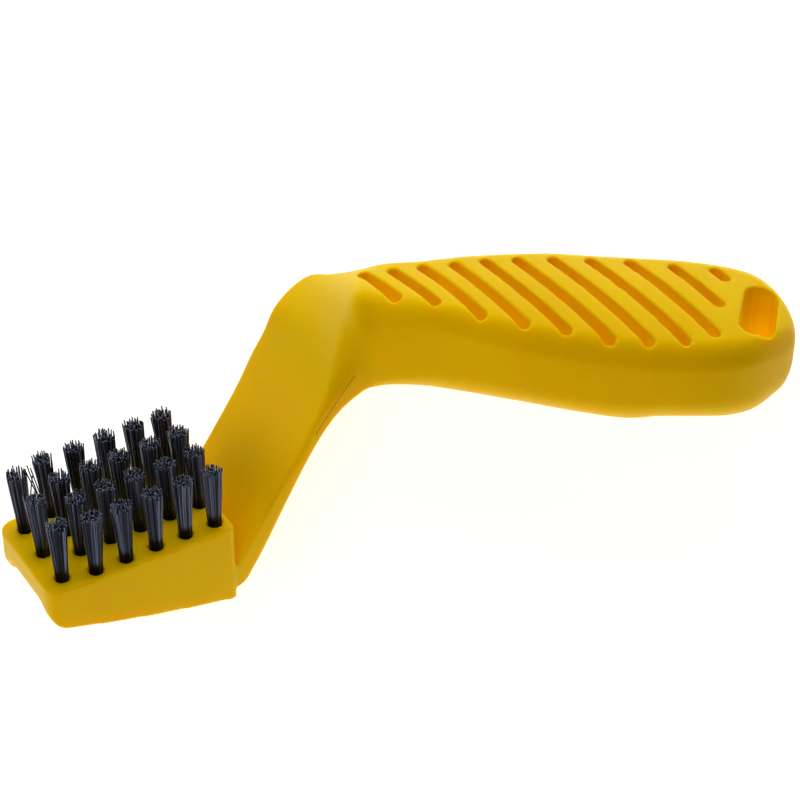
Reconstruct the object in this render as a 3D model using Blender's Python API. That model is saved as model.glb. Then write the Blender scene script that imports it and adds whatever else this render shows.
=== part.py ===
"""Pad conditioning brush: tufted head, bent neck and turned, slotted grip moulded in one piece.

Head frame while modelling, in metres: the tufted face is z = 0 with the bristles along +Z, +X runs
from the nose to the heel, and Y runs across the head. The grip turns away to -Y. The last section
lays the finished pieces down in the pose in which the brush rests."""

import math
import random

import bmesh
import bpy
from mathutils import Matrix, Vector
from mathutils.bvhtree import BVHTree
from mathutils.geometry import delaunay_2d_cdt

# Tufts: a nose column of three, then full columns on a square grid
TUFT_PITCH = 0.0076
NOSE_TUFT_PITCH = 0.0096
FULL_COLUMNS = 5
FULL_ROWS = 4
NOSE_ROWS = 3
HOLE_RADIUS = 0.00178
HOLE_DEPTH = 0.0050
HOLE_SIDES = 16
TUFT_CLEARANCE = 0.00010
TUFT_TRIM = 0.0162
TUFT_ROOT_BELOW_FACE = 0.0004
TUFT_TIP_RADIUS = 0.0025
TIP_RAGGEDNESS = 0.0009
TIP_WANDER = 0.00012
STRAND_WIDTH = 0.00040
STRAND_TIP_WIDTH = 0.00042
RING_SHARES = (0.39, 0.77)
CAP_MERGE_SHARE = 0.000001

# Anchors: flat wire that each bundle is folded over, driven across the hole
ANCHOR_LENGTH = 0.0032
ANCHOR_HEIGHT = 0.0016
ANCHOR_THICKNESS = 0.00042
ANCHOR_ABOVE_FLOOR = 0.0011
ANCHOR_CLEARANCE = 0.00006

# Head block
NOSE_OVERHANG = 0.0052
HEEL_OVERHANG = 0.0031
NOSE_WIDTH = 0.0280
HEEL_WIDTH = 0.0312
NOSE_CORNER = 0.0036
HEEL_CORNER = 0.0014
NOSE_DEPTH = 0.0104
NOSE_STRAIGHT = 0.0056
NOSE_UNDER_ROUND = 0.0036
HEEL_DEPTH = 0.0221
BLOCK_EDGE_ROUND = 0.0011
ARC_STEPS = 6
BELLY_STEPS = 8
NOSE_STEPS = 5
BELLY_PULL_SHARE = 0.42
BELLY_DROP_SHARE = 0.57

# Channel in the underside of the head, deepest at the nose
CHANNEL_WIDTH = 0.0190
CHANNEL_NOSE_DEPTH = 0.0044
CHANNEL_LENGTH = 0.0400
CHANNEL_CORNER = 0.0030

# Neck: a slab that leans away from the heel
NECK_WIDTH = 0.0306
NECK_DEPTH = 0.0057
NECK_REACH = 0.0325
NECK_RISE = 0.0456
NECK_BASE_DROP = 0.0156
NECK_INNER_ROUND = 0.0008
NECK_BACK_ROUND = 0.0014

# Grip: level with the tufted face, turned towards -Y
GRIP_YAW = math.radians(45)
GRIP_LENGTH = 0.1057
GRIP_WIDTH = 0.0380
GRIP_DEPTH = 0.0220
GRIP_CLEAR = 0.0300
GRIP_CROWN = 0.0016
GRIP_TOP_TILT = 0.0015
GRIP_TOP_ROUND = 0.0050
GRIP_BOTTOM_ROUND = 0.0080
ELBOW_BACK = 0.0033

# Slots across the grip, parallel to the head's width, as many as find room
SLOT_PITCH = 0.00570
SLOT_PITCH_GROWTH = 0.00008
SLOT_WIDTH = 0.00275
SLOT_FIRST = 0.0063
SLOT_FLOOR = 0.0040
SLOT_NEAR_WALL = 0.0032
SLOT_FAR_WALL = 0.0053
SLOT_END_WALL = 0.0171
SLOT_SHOULDER_WALL = 0.0057
SLOT_LEAST_LENGTH = 0.0040
SLOT_SEARCH_STEPS = 400

# Hanging eye through the end of the grip
EYE_LENGTH = 0.0178
EYE_WIDTH = 0.0083
EYE_END_WALL = 0.0049
EYE_SHIFT = 0.0032
EYE_CORNER = 0.0036
EYE_FAR_WIDTH = 0.0076

OVERRUN = 0.0040

# At rest the brush lies on the heel's far corner and the far lower edge of the grip. It is set
# down facing this way and rolls on until it lies still
SET_DOWN_SHARES = (0.60, 0.59, -0.54)
ROLL_STEPS = 20

# Stations of the neck: reach, rise, depth, width, round of the edges, then the lean in degrees
NECK_STATION_SHARES = (
    (-0.185, -0.035, 0.67, 0.98, 0.5, 8),
    (-0.015, -0.024, 1.37, 0.98, 1.0, 30),
    (0.089, 0.037, 1.12, 0.98, 1.0, 52),
    (0.203, 0.162, 1.04, 0.985, 1.0, 57),
    (0.400, 0.386, 0.81, 0.99, 1.0, 57),
    (0.600, 0.612, 0.65, 1.0, 1.0, 58),
    (0.738, 0.765, 0.80, 1.005, 1.0, 57),
    (0.870, 0.875, 1.15, 1.0, 1.1, 54),
    (1.022, 0.978, 1.84, 1.015, 1.2, 46),
)
# Stations of the shoulder and grip: place along the grip, near and far half widths, top and
# bottom heights, rounding, crown, tilt of the top, yaw, then the lean in degrees
GRIP_STATION_SHARES = (
    (0.014, 0.748, 0.925, 0.388, -0.255, 0.15, 0.6, 0.3, 0.30, 34),
    (0.047, 0.682, 0.740, 0.535, -0.250, 0.30, 1.2, 0.65, 0.49, 23),
    (0.080, 0.630, 0.510, 0.787, -0.225, 0.40, 1.0, 1.75, 0.69, 13),
    (0.117, 0.604, 0.495, 0.864, -0.200, 0.50, 0.3, 0.95, 0.83, 5),
    (0.167, 0.633, 0.575, 0.900, -0.170, 0.70, 0.35, 0.8, 1.0, 0),
    (0.223, 0.690, 0.683, 0.945, -0.135, 0.90, 0.2, 0.9, 1.0, 0),
    (0.290, 0.760, 0.798, 0.965, -0.105, 1.0, 0.3, 0.7, 1.0, 0),
    (0.432, 0.890, 0.998, 0.970, -0.035, 1.0, 0.7, 0.5, 1.0, 0),
    (0.546, 0.932, 1.055, 0.977, -0.030, 1.0, 1.0, 0.33, 1.0, 0),
    (0.640, 0.932, 1.094, 0.990, -0.035, 1.0, 1.0, 0.17, 1.0, 0),
    (0.690, 0.915, 1.112, 0.996, -0.020, 1.0, 1.0, 0.05, 1.0, 0),
    (0.735, 0.890, 1.127, 1.0, 0.028, 1.0, 1.0, 0.0, 1.0, 0),
    (0.811, 0.805, 1.133, 1.0, 0.04, 1.0, 0.9, 0.0, 1.0, 0),
    (0.877, 0.675, 1.080, 0.99, 0.02, 1.0, 0.8, 0.0, 1.0, 0),
    (0.924, 0.500, 0.920, 0.97, 0.02, 1.0, 0.6, 0.0, 1.0, 0),
    (0.957, 0.290, 0.718, 0.94, 0.04, 0.9, 0.4, 0.0, 1.0, 0),
    (0.980, 0.080, 0.495, 0.90, 0.10, 0.7, 0.2, 0.0, 1.0, 0),
    (0.995, -0.090, 0.272, 0.84, 0.22, 0.4, 0.0, 0.0, 1.0, 0),
)
STATION_STEPS = 4
TOP_STEPS = 8
CORNER_STEPS = 5
WALL_STEPS = 2
ROUND_LIMIT_SHARE = 0.9


def clear_scene():
    for item in list(bpy.data.objects):
        bpy.data.objects.remove(item, do_unlink=True)


def material(name, colour, roughness, metallic):
    made = bpy.data.materials.new(name)
    made.use_nodes = True
    shader = made.node_tree.nodes["Principled BSDF"]
    shader.inputs["Base Color"].default_value = (*colour, 1.0)
    shader.inputs["Roughness"].default_value = roughness
    shader.inputs["Metallic"].default_value = metallic
    made.diffuse_color = (*colour, 1.0)
    return made


def object_of(name, bm, look=None, smooth=None):
    """An object made from the bmesh, shaded smooth below the given angle."""
    bmesh.ops.recalc_face_normals(bm, faces=bm.faces)
    mesh = bpy.data.meshes.new(name)
    bm.to_mesh(mesh)
    bm.free()
    if smooth is not None:
        mesh.shade_smooth()
        mesh.set_sharp_from_angle(angle=smooth)
    made = bpy.data.objects.new(name, mesh)
    bpy.context.scene.collection.objects.link(made)
    if look is None:
        made.hide_render = True
        made.display_type = "WIRE"
    else:
        mesh.materials.append(look)
    return made


def boolean(target, other, operation):
    cut = target.modifiers.new(operation.lower() + "_" + other.name, "BOOLEAN")
    cut.operation = operation
    cut.solver = "EXACT"
    cut.object = other


def arc(centre, radius, start, end, steps):
    """Points of an arc about the centre, angles in degrees."""
    points = []
    for step in range(steps + 1):
        angle = math.radians(start + (end - start) * step / steps)
        points.append((centre[0] + radius * math.cos(angle), centre[1] + radius * math.sin(angle)))
    return points


def prism(bm, outline, low, high):
    """A closed prism of the plan outline between two heights."""
    bottom = [bm.verts.new((x, y, low)) for x, y in outline]
    top = [bm.verts.new((x, y, high)) for x, y in outline]
    bm.faces.new(bottom[::-1])
    bm.faces.new(top)
    for here, there in zip(range(len(outline)), [*range(1, len(outline)), 0]):
        bm.faces.new((bottom[here], bottom[there], top[there], top[here]))


def tuft_places():
    places = [(0.0, (row - (NOSE_ROWS - 1) / 2) * NOSE_TUFT_PITCH) for row in range(NOSE_ROWS)]
    for column in range(1, FULL_COLUMNS + 1):
        for row in range(FULL_ROWS):
            places.append((column * TUFT_PITCH, (row - (FULL_ROWS - 1) / 2) * TUFT_PITCH))
    return places


clear_scene()
yellow = material("yellow_plastic", (0.74, 0.44, 0.004), 0.42, 0.0)
black = material("black_nylon", (0.012, 0.012, 0.014), 0.45, 0.0)
metal = material("anchor_metal", (0.62, 0.60, 0.56), 0.35, 1.0)

# Head block: the plan outline, cut to the sloping underside
nose_x = -NOSE_OVERHANG
heel_x = FULL_COLUMNS * TUFT_PITCH + HEEL_OVERHANG
nose_half = NOSE_WIDTH / 2
heel_half = HEEL_WIDTH / 2
plan = [
    *arc((nose_x + NOSE_CORNER, NOSE_CORNER - nose_half), NOSE_CORNER, 180, 270, ARC_STEPS),
    *arc((heel_x - HEEL_CORNER, HEEL_CORNER - heel_half), HEEL_CORNER, 270, 360, ARC_STEPS),
    *arc((heel_x - HEEL_CORNER, heel_half - HEEL_CORNER), HEEL_CORNER, 0, 90, ARC_STEPS),
    *arc((nose_x + NOSE_CORNER, nose_half - NOSE_CORNER), NOSE_CORNER, 90, 180, ARC_STEPS),
]
bm = bmesh.new()
prism(bm, plan, -HEEL_DEPTH - OVERRUN, 0)
handle = object_of("handle", bm, yellow, math.radians(40))
soft = handle.modifiers.new("rim_round", "BEVEL")
soft.width = BLOCK_EDGE_ROUND
soft.segments = 3
soft.limit_method = "ANGLE"
soft.angle_limit = math.radians(40)


def curve(start, pull, end, share):
    """Point of a curve that leaves the start towards the pull and reaches the end from it."""
    first = (1 - share) ** 2
    middle = 2 * share * (1 - share)
    last = share**2
    return tuple(first * a + middle * b + last * c for a, b, c in zip(start, pull, end))


def belly(share):
    """Point of the underside, from the nose at 0 to the heel at 1, as (x, z)."""
    pull_x = nose_x + (heel_x - nose_x) * BELLY_PULL_SHARE
    pull_z = -NOSE_DEPTH - (HEEL_DEPTH - NOSE_DEPTH) * BELLY_DROP_SHARE
    return curve((nose_x, -NOSE_DEPTH), (pull_x, pull_z), (heel_x, -HEEL_DEPTH), share)


round_share = NOSE_UNDER_ROUND / (heel_x - nose_x)
under = [
    curve((nose_x, -NOSE_STRAIGHT), (nose_x, -NOSE_DEPTH), belly(round_share), step / NOSE_STEPS)
    for step in range(NOSE_STEPS)
]
under += [
    belly(round_share + (1 - round_share) * step / BELLY_STEPS) for step in range(BELLY_STEPS + 1)
]
under += [
    (heel_x + OVERRUN, under[-1][1]),
    (heel_x + OVERRUN, OVERRUN),
    (nose_x - OVERRUN, OVERRUN),
    (nose_x - OVERRUN, -NOSE_STRAIGHT),
]
bm = bmesh.new()
prism(bm, under, -heel_half - OVERRUN, heel_half + OVERRUN)
bmesh.ops.rotate(bm, verts=bm.verts, cent=(0, 0, 0), matrix=Matrix.Rotation(math.pi / 2, 3, "X"))
boolean(handle, object_of("underside_profile", bm), "INTERSECT")

# Neck, shoulder and grip: one loft of rounded sections whose stations come from the tables above
elbow_x = heel_x + NECK_REACH + ELBOW_BACK
stations = []
for reach, rise, depth, width, rounding, lean in NECK_STATION_SHARES:
    stations.append(
        (
            heel_x + reach * NECK_REACH,
            0.0,
            rise * NECK_RISE - NECK_BASE_DROP,
            0.0,
            math.radians(lean),
            width * NECK_WIDTH / 2,
            depth * NECK_DEPTH / 2,
            rounding * NECK_INNER_ROUND,
            rounding * NECK_BACK_ROUND,
            0.0,
            0.0,
        )
    )
for along, near, far, top, bottom, rounding, crown, tilt, yaw, lean in GRIP_STATION_SHARES:
    centre_side = (far - near) * GRIP_WIDTH / 4
    stations.append(
        (
            elbow_x + along * GRIP_LENGTH * math.cos(GRIP_YAW) + centre_side * math.sin(GRIP_YAW),
            -along * GRIP_LENGTH * math.sin(GRIP_YAW) + centre_side * math.cos(GRIP_YAW),
            GRIP_CLEAR + (top + bottom) * GRIP_DEPTH / 2,
            yaw * GRIP_YAW,
            math.radians(lean),
            (near + far) * GRIP_WIDTH / 4,
            (top - bottom) * GRIP_DEPTH / 2,
            rounding * GRIP_TOP_ROUND,
            rounding * GRIP_BOTTOM_ROUND,
            crown * GRIP_CROWN,
            tilt * GRIP_TOP_TILT,
        )
    )


def between(rows, place):
    """All the values of a table at a place counted in rows, on a curve through every row."""
    first = min(int(place), len(rows) - 2)
    t = place - first
    before = rows[max(first - 1, 0)]
    here = rows[first]
    there = rows[first + 1]
    after = rows[min(first + 2, len(rows) - 1)]
    values = []
    for a, b, c, d in zip(before, here, there, after):
        square = a - 5 * b / 2 + 2 * c - d / 2
        cube = (3 * b - a - 3 * c + d) / 2
        values.append(b + t * (c - a) / 2 + t * t * square + t**3 * cube)
    return values


def section(values):
    """World points of one rounded section of the loft."""
    x, y, z, yaw, lean, half, half_depth, top_round, bottom_round, crown, tilt = values
    across = Vector((math.sin(yaw), math.cos(yaw), 0))
    up = Vector((-math.sin(lean) * math.cos(yaw), math.sin(lean) * math.sin(yaw), math.cos(lean)))
    most = min(half_depth, half) * ROUND_LIMIT_SHARE
    top_round = min(top_round, most)
    bottom_round = min(bottom_round, most)
    outline = []
    for step in range(TOP_STEPS):
        share = step / TOP_STEPS
        outline.append((-(half - top_round) + 2 * (half - top_round) * share, half_depth))
    outline += arc((half - top_round, half_depth - top_round), top_round, 90, 0, CORNER_STEPS)
    wall = (half_depth - top_round, -half_depth + bottom_round)
    for step in range(1, WALL_STEPS):
        outline.append((half, wall[0] + (wall[1] - wall[0]) * step / WALL_STEPS))
    outline += arc((half - bottom_round, bottom_round - half_depth), bottom_round, 0, -90, CORNER_STEPS)
    for step in range(1, TOP_STEPS):
        share = step / TOP_STEPS
        outline.append(((half - bottom_round) - 2 * (half - bottom_round) * share, -half_depth))
    outline += arc((bottom_round - half, bottom_round - half_depth), bottom_round, -90, -180, CORNER_STEPS)
    for step in range(1, WALL_STEPS):
        outline.append((-half, wall[1] + (wall[0] - wall[1]) * step / WALL_STEPS))
    outline += arc((top_round - half, half_depth - top_round), top_round, 180, 90, CORNER_STEPS)[:-1]
    points = []
    for side, height in outline:
        lift = crown * (1 - (side / half) ** 2) - tilt * side / half
        points.append(Vector((x, y, z)) + across * side + up * (height + lift * max(height / half_depth, 0)))
    return points


places = [step / STATION_STEPS for step in range((len(stations) - 1) * STATION_STEPS + 1)]
bm = bmesh.new()
rings = [[bm.verts.new(point) for point in section(between(stations, place))] for place in places]
for lower, upper in zip(rings, rings[1:]):
    for here in range(len(lower)):
        there = (here + 1) % len(lower)
        bm.faces.new((lower[here], lower[there], upper[there], upper[here]))
bm.faces.new(rings[0][::-1])
bm.faces.new(rings[-1])
grip = object_of("neck_and_grip", bm, None, math.radians(40))
boolean(handle, grip, "UNION")

# Channel in the underside, running out towards the heel
channel_slope = math.atan2(
    belly(1)[1] - belly(0)[1] - CHANNEL_NOSE_DEPTH,
    CHANNEL_LENGTH,
)
half = CHANNEL_WIDTH / 2
low = -CHANNEL_WIDTH
channel = [
    (-half, low),
    (half, low),
    *arc((half - CHANNEL_CORNER, -CHANNEL_CORNER), CHANNEL_CORNER, 0, 90, ARC_STEPS),
    *arc((CHANNEL_CORNER - half, -CHANNEL_CORNER), CHANNEL_CORNER, 90, 180, ARC_STEPS),
]
bm = bmesh.new()
prism(bm, channel, -OVERRUN, CHANNEL_LENGTH + OVERRUN)
bmesh.ops.rotate(
    bm,
    verts=bm.verts,
    cent=(0, 0, 0),
    matrix=Matrix(((0, 0, 1), (1, 0, 0), (0, 1, 0))),
)
bmesh.ops.rotate(bm, verts=bm.verts, cent=(0, 0, 0), matrix=Matrix.Rotation(-channel_slope, 3, "Y"))
bmesh.ops.translate(bm, verts=bm.verts, vec=(nose_x, 0, CHANNEL_NOSE_DEPTH - NOSE_DEPTH))
boolean(handle, object_of("channel_cutter", bm), "DIFFERENCE")


def plan_point(x, y):
    """Place along and across the grip, from the elbow."""
    run = x - elbow_x
    along = run * math.cos(GRIP_YAW) - y * math.sin(GRIP_YAW)
    side = run * math.sin(GRIP_YAW) + y * math.cos(GRIP_YAW)
    return along, side


def walls_at(along):
    """Near and far walls of the grip at a place along it."""
    share = along / GRIP_LENGTH
    rows = GRIP_STATION_SHARES
    for low_row, high_row in zip(rows, rows[1:]):
        if share <= high_row[0]:
            break
    t = (share - low_row[0]) / (high_row[0] - low_row[0])
    near = low_row[1] + (high_row[1] - low_row[1]) * t
    far = low_row[2] + (high_row[2] - low_row[2]) * t
    return -near * GRIP_WIDTH / 2, far * GRIP_WIDTH / 2


def inside(x, y):
    along, side = plan_point(x, y)
    if not SLOT_SHOULDER_WALL < along < GRIP_LENGTH - SLOT_END_WALL:
        return False
    near, far = walls_at(along)
    return near + SLOT_NEAR_WALL < side < far - SLOT_FAR_WALL


# Slots: each runs from the near wall to the far wall, less the material left there
bm = bmesh.new()
slot_radius = SLOT_WIDTH / 2
slot = 0
while slot * SLOT_PITCH < GRIP_LENGTH:
    x = elbow_x + SLOT_FIRST + slot * SLOT_PITCH + slot**2 * SLOT_PITCH_GROWTH
    slot += 1
    tries = [-GRIP_LENGTH * step / SLOT_SEARCH_STEPS for step in range(SLOT_SEARCH_STEPS + 1)]
    held = [y for y in tries if inside(x, y)]
    if not held or max(held) - min(held) < SLOT_LEAST_LENGTH:
        continue
    near_y = min(held) + slot_radius
    far_y = max(held) - slot_radius
    stadium = arc((x, near_y), slot_radius, -180, 0, ARC_STEPS)
    stadium += arc((x, far_y), slot_radius, 0, 180, ARC_STEPS)
    prism(bm, stadium, GRIP_CLEAR + SLOT_FLOOR, GRIP_CLEAR + GRIP_DEPTH + OVERRUN)
boolean(handle, object_of("slot_cutters", bm), "DIFFERENCE")

# Hanging eye: straight side towards the head, through along the bristles
turn = Matrix.Translation((elbow_x, 0, 0)) @ Matrix.Rotation(-GRIP_YAW, 4, "Z")
back = GRIP_LENGTH - EYE_END_WALL - EYE_WIDTH
front = GRIP_LENGTH - EYE_END_WALL
near = EYE_SHIFT - EYE_LENGTH / 2
far = EYE_SHIFT + EYE_LENGTH / 2
eye = [
    *arc((back + EYE_CORNER, near + EYE_CORNER), EYE_CORNER, 180, 270, ARC_STEPS),
    *arc((front - EYE_CORNER, near + EYE_CORNER), EYE_CORNER, 270, 360, ARC_STEPS),
    *arc((back + EYE_FAR_WIDTH - EYE_CORNER, far - EYE_CORNER), EYE_CORNER, 0, 90, ARC_STEPS),
    *arc((back + EYE_CORNER, far - EYE_CORNER), EYE_CORNER, 90, 180, ARC_STEPS),
]
bm = bmesh.new()
prism(bm, eye, GRIP_CLEAR - OVERRUN, GRIP_CLEAR + GRIP_DEPTH + OVERRUN)
bmesh.ops.transform(bm, matrix=turn, verts=bm.verts)
boolean(handle, object_of("eye_cutter", bm), "DIFFERENCE")

# Tuft holes
bm = bmesh.new()
for x, y in tuft_places():
    prism(bm, arc((x, y), HOLE_RADIUS, 0, 360, HOLE_SIDES)[:-1], -HOLE_DEPTH, OVERRUN)
boolean(handle, object_of("hole_cutters", bm), "DIFFERENCE")

# Strand places in one bundle: rings of six and twelve about a middle strand, as shares of the radius
bundle_radius = HOLE_RADIUS - TUFT_CLEARANCE
strand_places = [(0.0, 0.0)]
for ring, ring_share in enumerate(RING_SHARES, 1):
    strand_places += arc((0, 0), ring_share, 0, 360, 6 * ring)[:-1]
corner_share = STRAND_WIDTH / bundle_radius / 2
cap_points = [Vector(point) for point in arc((0, 0), 1, 0, 360, HOLE_SIDES)[:-1]]
cap_faces = [list(range(HOLE_SIDES))]
for across, along in strand_places:
    first = len(cap_points)
    for side, other in ((-1, -1), (1, -1), (1, 1), (-1, 1)):
        cap_points.append(Vector((across + side * corner_share, along + other * corner_share)))
    cap_faces.append(list(range(first, first + 4)))
cap = delaunay_2d_cdt(cap_points, [], cap_faces, 1, CAP_MERGE_SHARE)
cap_triangles = [face for face, origin in zip(cap[2], cap[5]) if origin == [0]]
cap_sources = [origin[0] for origin in cap[3]]

for number, (x, y) in enumerate(tuft_places()):
    dice = random.Random(number)
    name = f"tuft_{number + 1:02d}"
    floor = -HOLE_DEPTH + TUFT_CLEARANCE
    bm = bmesh.new()
    ring = arc((x, y), bundle_radius, 0, 360, HOLE_SIDES)[:-1]
    bottom = [bm.verts.new((*point, floor)) for point in ring]
    bm.faces.new(bottom[::-1])
    top = {}
    for index, source in enumerate(cap_sources):
        point = cap_points[source] * bundle_radius
        top[index] = bm.verts.new((x + point.x, y + point.y, -TUFT_ROOT_BELOW_FACE))
    placed = {source: top[index] for index, source in enumerate(cap_sources)}
    for here in range(HOLE_SIDES):
        there = (here + 1) % HOLE_SIDES
        bm.faces.new((bottom[here], bottom[there], placed[there], placed[here]))
    for face in cap_triangles:
        bm.faces.new([top[index] for index in face])
    for strand, (across, along) in enumerate(strand_places):
        root = [placed[HOLE_SIDES + 4 * strand + corner] for corner in range(4)]
        tip_x = x + across * TUFT_TIP_RADIUS + dice.uniform(-1, 1) * TIP_WANDER
        tip_y = y + along * TUFT_TIP_RADIUS + dice.uniform(-1, 1) * TIP_WANDER
        tip_z = TUFT_TRIM - dice.random() * TIP_RAGGEDNESS
        half = STRAND_TIP_WIDTH / 2
        tip = []
        for side, other in ((-1, -1), (1, -1), (1, 1), (-1, 1)):
            tip.append(bm.verts.new((tip_x + side * half, tip_y + other * half, tip_z)))
        for here in range(4):
            there = (here + 1) % 4
            bm.faces.new((root[here], root[there], tip[there], tip[here]))
        bm.faces.new(tip)
    tuft = object_of(name, bm, black)
    gap = ANCHOR_CLEARANCE
    middle = ANCHOR_ABOVE_FLOOR + ANCHOR_HEIGHT / 2 - HOLE_DEPTH
    bm = bmesh.new()
    bmesh.ops.create_cube(bm, size=1)
    size = (ANCHOR_LENGTH + 2 * OVERRUN, ANCHOR_THICKNESS + 2 * gap, ANCHOR_HEIGHT + 2 * gap)
    bmesh.ops.scale(bm, verts=bm.verts, vec=size)
    bmesh.ops.translate(bm, verts=bm.verts, vec=(x, y, middle))
    boolean(tuft, object_of(f"anchor_cutter_{number + 1:02d}", bm), "DIFFERENCE")
    bm = bmesh.new()
    bmesh.ops.create_cube(bm, size=1)
    bmesh.ops.scale(bm, verts=bm.verts, vec=(ANCHOR_LENGTH, ANCHOR_THICKNESS, ANCHOR_HEIGHT))
    bmesh.ops.translate(bm, verts=bm.verts, vec=(x, y, middle))
    object_of(f"anchor_{number + 1:02d}", bm, metal)

# Lay the finished brush down on the face of its hull that it comes to lie on: the one that its
# middle stands over. The grip then runs along X, and the box is centred over the origin
bpy.context.view_layer.update()
graph = bpy.context.evaluated_depsgraph_get()
points = []
middle = Vector((0, 0, 0))
volume = 0.0
for item in bpy.data.objects:
    if item.hide_render:
        continue
    evaluated = item.evaluated_get(graph)
    mesh = evaluated.to_mesh()
    mesh.calc_loop_triangles()
    points += [vertex.co.copy() for vertex in mesh.vertices]
    for triangle in mesh.loop_triangles:
        a, b, c = (mesh.vertices[index].co for index in triangle.vertices)
        part = a.dot(b.cross(c)) / 6
        middle += (a + b + c) / 4 * part
        volume += part
    evaluated.to_mesh_clear()
middle /= volume
hull = bmesh.new()
for point in points:
    hull.verts.new(point)
bmesh.ops.convex_hull(hull, input=hull.verts)
hull.normal_update()
tree = BVHTree.FromBMesh(hull)
down = Vector(SET_DOWN_SHARES)
for roll in range(ROLL_STEPS):
    down = tree.ray_cast(middle, down)[1]
hull.free()
lay = down.rotation_difference(Vector((0, 0, -1))).to_matrix()
grip_way = lay @ Vector((math.cos(GRIP_YAW), -math.sin(GRIP_YAW), 0))
lay = Matrix.Rotation(-math.atan2(grip_way.y, grip_way.x), 3, "Z") @ lay
laid = [lay @ point for point in points]
lows = [min(point[axis] for point in laid) for axis in range(3)]
highs = [max(point[axis] for point in laid) for axis in range(3)]
offset = Vector((-(lows[0] + highs[0]) / 2, -(lows[1] + highs[1]) / 2, -lows[2]))
rest = bpy.data.objects.new("rest", None)
bpy.context.scene.collection.objects.link(rest)
rest.matrix_world = Matrix.Translation(offset) @ lay.to_4x4()
for item in list(bpy.data.objects):
    if item is not rest:
        item.parent = rest
bpy.context.view_layer.update()
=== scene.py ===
import math
import random

import bpy
import numpy as np
from mathutils import Matrix, Vector
from mathutils.bvhtree import BVHTree


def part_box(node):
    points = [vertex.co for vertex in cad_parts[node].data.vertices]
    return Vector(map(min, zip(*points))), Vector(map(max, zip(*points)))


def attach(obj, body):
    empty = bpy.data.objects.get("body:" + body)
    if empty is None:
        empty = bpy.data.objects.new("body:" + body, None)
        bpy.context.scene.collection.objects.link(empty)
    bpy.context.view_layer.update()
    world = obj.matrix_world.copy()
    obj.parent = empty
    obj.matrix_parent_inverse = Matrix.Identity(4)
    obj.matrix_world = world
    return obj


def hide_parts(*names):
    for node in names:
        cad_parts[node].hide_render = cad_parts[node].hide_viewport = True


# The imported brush, which lies at rest on its back. Every piece below is made in the head's own
# frame and then laid on it: x runs from the nose to the heel, y across the head and z along
# the bristles, with z = 0 on the tufted face. The middles of three anchors give that frame.
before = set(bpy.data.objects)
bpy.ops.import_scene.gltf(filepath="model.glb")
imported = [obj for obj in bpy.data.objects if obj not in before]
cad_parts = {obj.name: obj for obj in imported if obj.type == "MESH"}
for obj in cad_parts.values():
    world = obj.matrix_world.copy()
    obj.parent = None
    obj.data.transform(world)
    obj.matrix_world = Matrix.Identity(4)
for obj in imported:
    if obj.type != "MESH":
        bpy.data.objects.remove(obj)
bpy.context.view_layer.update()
bpy.ops.object.select_all(action="DESELECT")
MM = 0.001
TUFT_PITCH = 7.6 * MM
NOSE_TUFT_PITCH = 9.6 * MM
COLUMNS = 5
ROWS = 4
ANCHOR_DEPTH = 3.1 * MM


def middle_of(node):
    low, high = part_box(node)
    return (low + high) / 2


near_nose, far_nose, near_heel = (middle_of(node) for node in ("anchor_04", "anchor_07", "anchor_20"))
to_heel = (near_heel - near_nose).normalized()
across = (far_nose - near_nose).normalized()
along_bristles = to_heel.cross(across).normalized()
HEAD = Matrix((to_heel, across, along_bristles)).transposed().to_4x4()
near_row = -(ROWS - 1) / 2 * TUFT_PITCH
HEAD.translation = near_nose - HEAD.to_3x3() @ Vector((TUFT_PITCH, near_row, -ANCHOR_DEPTH))

# The handle: head block, bent neck and turned grip are one injection moulding in solid yellow
# polypropylene. The neck and grip are a loft of rounded sections, the slots, the eye and the tuft
# holes are cored out, and every edge carries the small round that a moulding has.
NOSE_X = -5.2 * MM
HEEL_X = 41.1 * MM
NOSE_HALF = 14.0 * MM
HEEL_HALF = 15.6 * MM
NOSE_CORNER = 3.6 * MM
HEEL_CORNER = 1.4 * MM
NOSE_DEPTH = 10.4 * MM
NOSE_STRAIGHT = 5.6 * MM
NOSE_UNDER_ROUND = 3.6 * MM
NOSE_UNDER_STEPS = 12
HEEL_DEPTH = 22.1 * MM
BELLY_PULL = (0.42, 0.57)
BELLY_STEPS = 32
OUTLINE_ROUND_STEPS = 12
CHANNEL_WIDTH = 19.0 * MM
CHANNEL_DEPTH = 4.4 * MM
CHANNEL_LENGTH = 40.0 * MM
CHANNEL_CORNER = 3.0 * MM
CHANNEL_CORNER_STEPS = 8
NECK_WIDTH = 30.6 * MM
NECK_DEPTH = 5.7 * MM
NECK_REACH = 32.5 * MM
NECK_RISE = 45.6 * MM
NECK_BASE_DROP = 15.6 * MM
NECK_SHIFT = 0.35 * MM
NECK_INNER_ROUND = 0.8 * MM
NECK_BACK_ROUND = 1.4 * MM
GRIP_YAW = math.radians(45)
GRIP_LENGTH = 105.7 * MM
GRIP_WIDTH = 38.0 * MM
GRIP_DEPTH = 22.0 * MM
GRIP_CLEAR = 30.0 * MM
GRIP_CROWN = 1.6 * MM
GRIP_TOP_TILT = 1.5 * MM
GRIP_TOP_ROUND = 5.0 * MM
GRIP_BOTTOM_ROUND = 8.0 * MM
ELBOW_X = HEEL_X + NECK_REACH + 3.3 * MM
ELBOW_HOLLOW = (78.5 * MM, -16.5 * MM, 36.0 * MM)
ELBOW_EASED_WITHIN = 11.0 * MM
ELBOW_EASED_STEPS = 13
HOLE_RADIUS = 1.78 * MM
HOLE_DEPTH = 5.0 * MM
HOLE_SIDES = 28
CUT_OVERRUN = 4.0 * MM
SLOT_WIDTH = 2.75 * MM
SLOT_END_ROUND = 0.98
SLOT_FLOOR = GRIP_CLEAR + 4.0 * MM
EYE_FRONT = 100.8 * MM
EYE_WIDTH = 8.3 * MM
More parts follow.
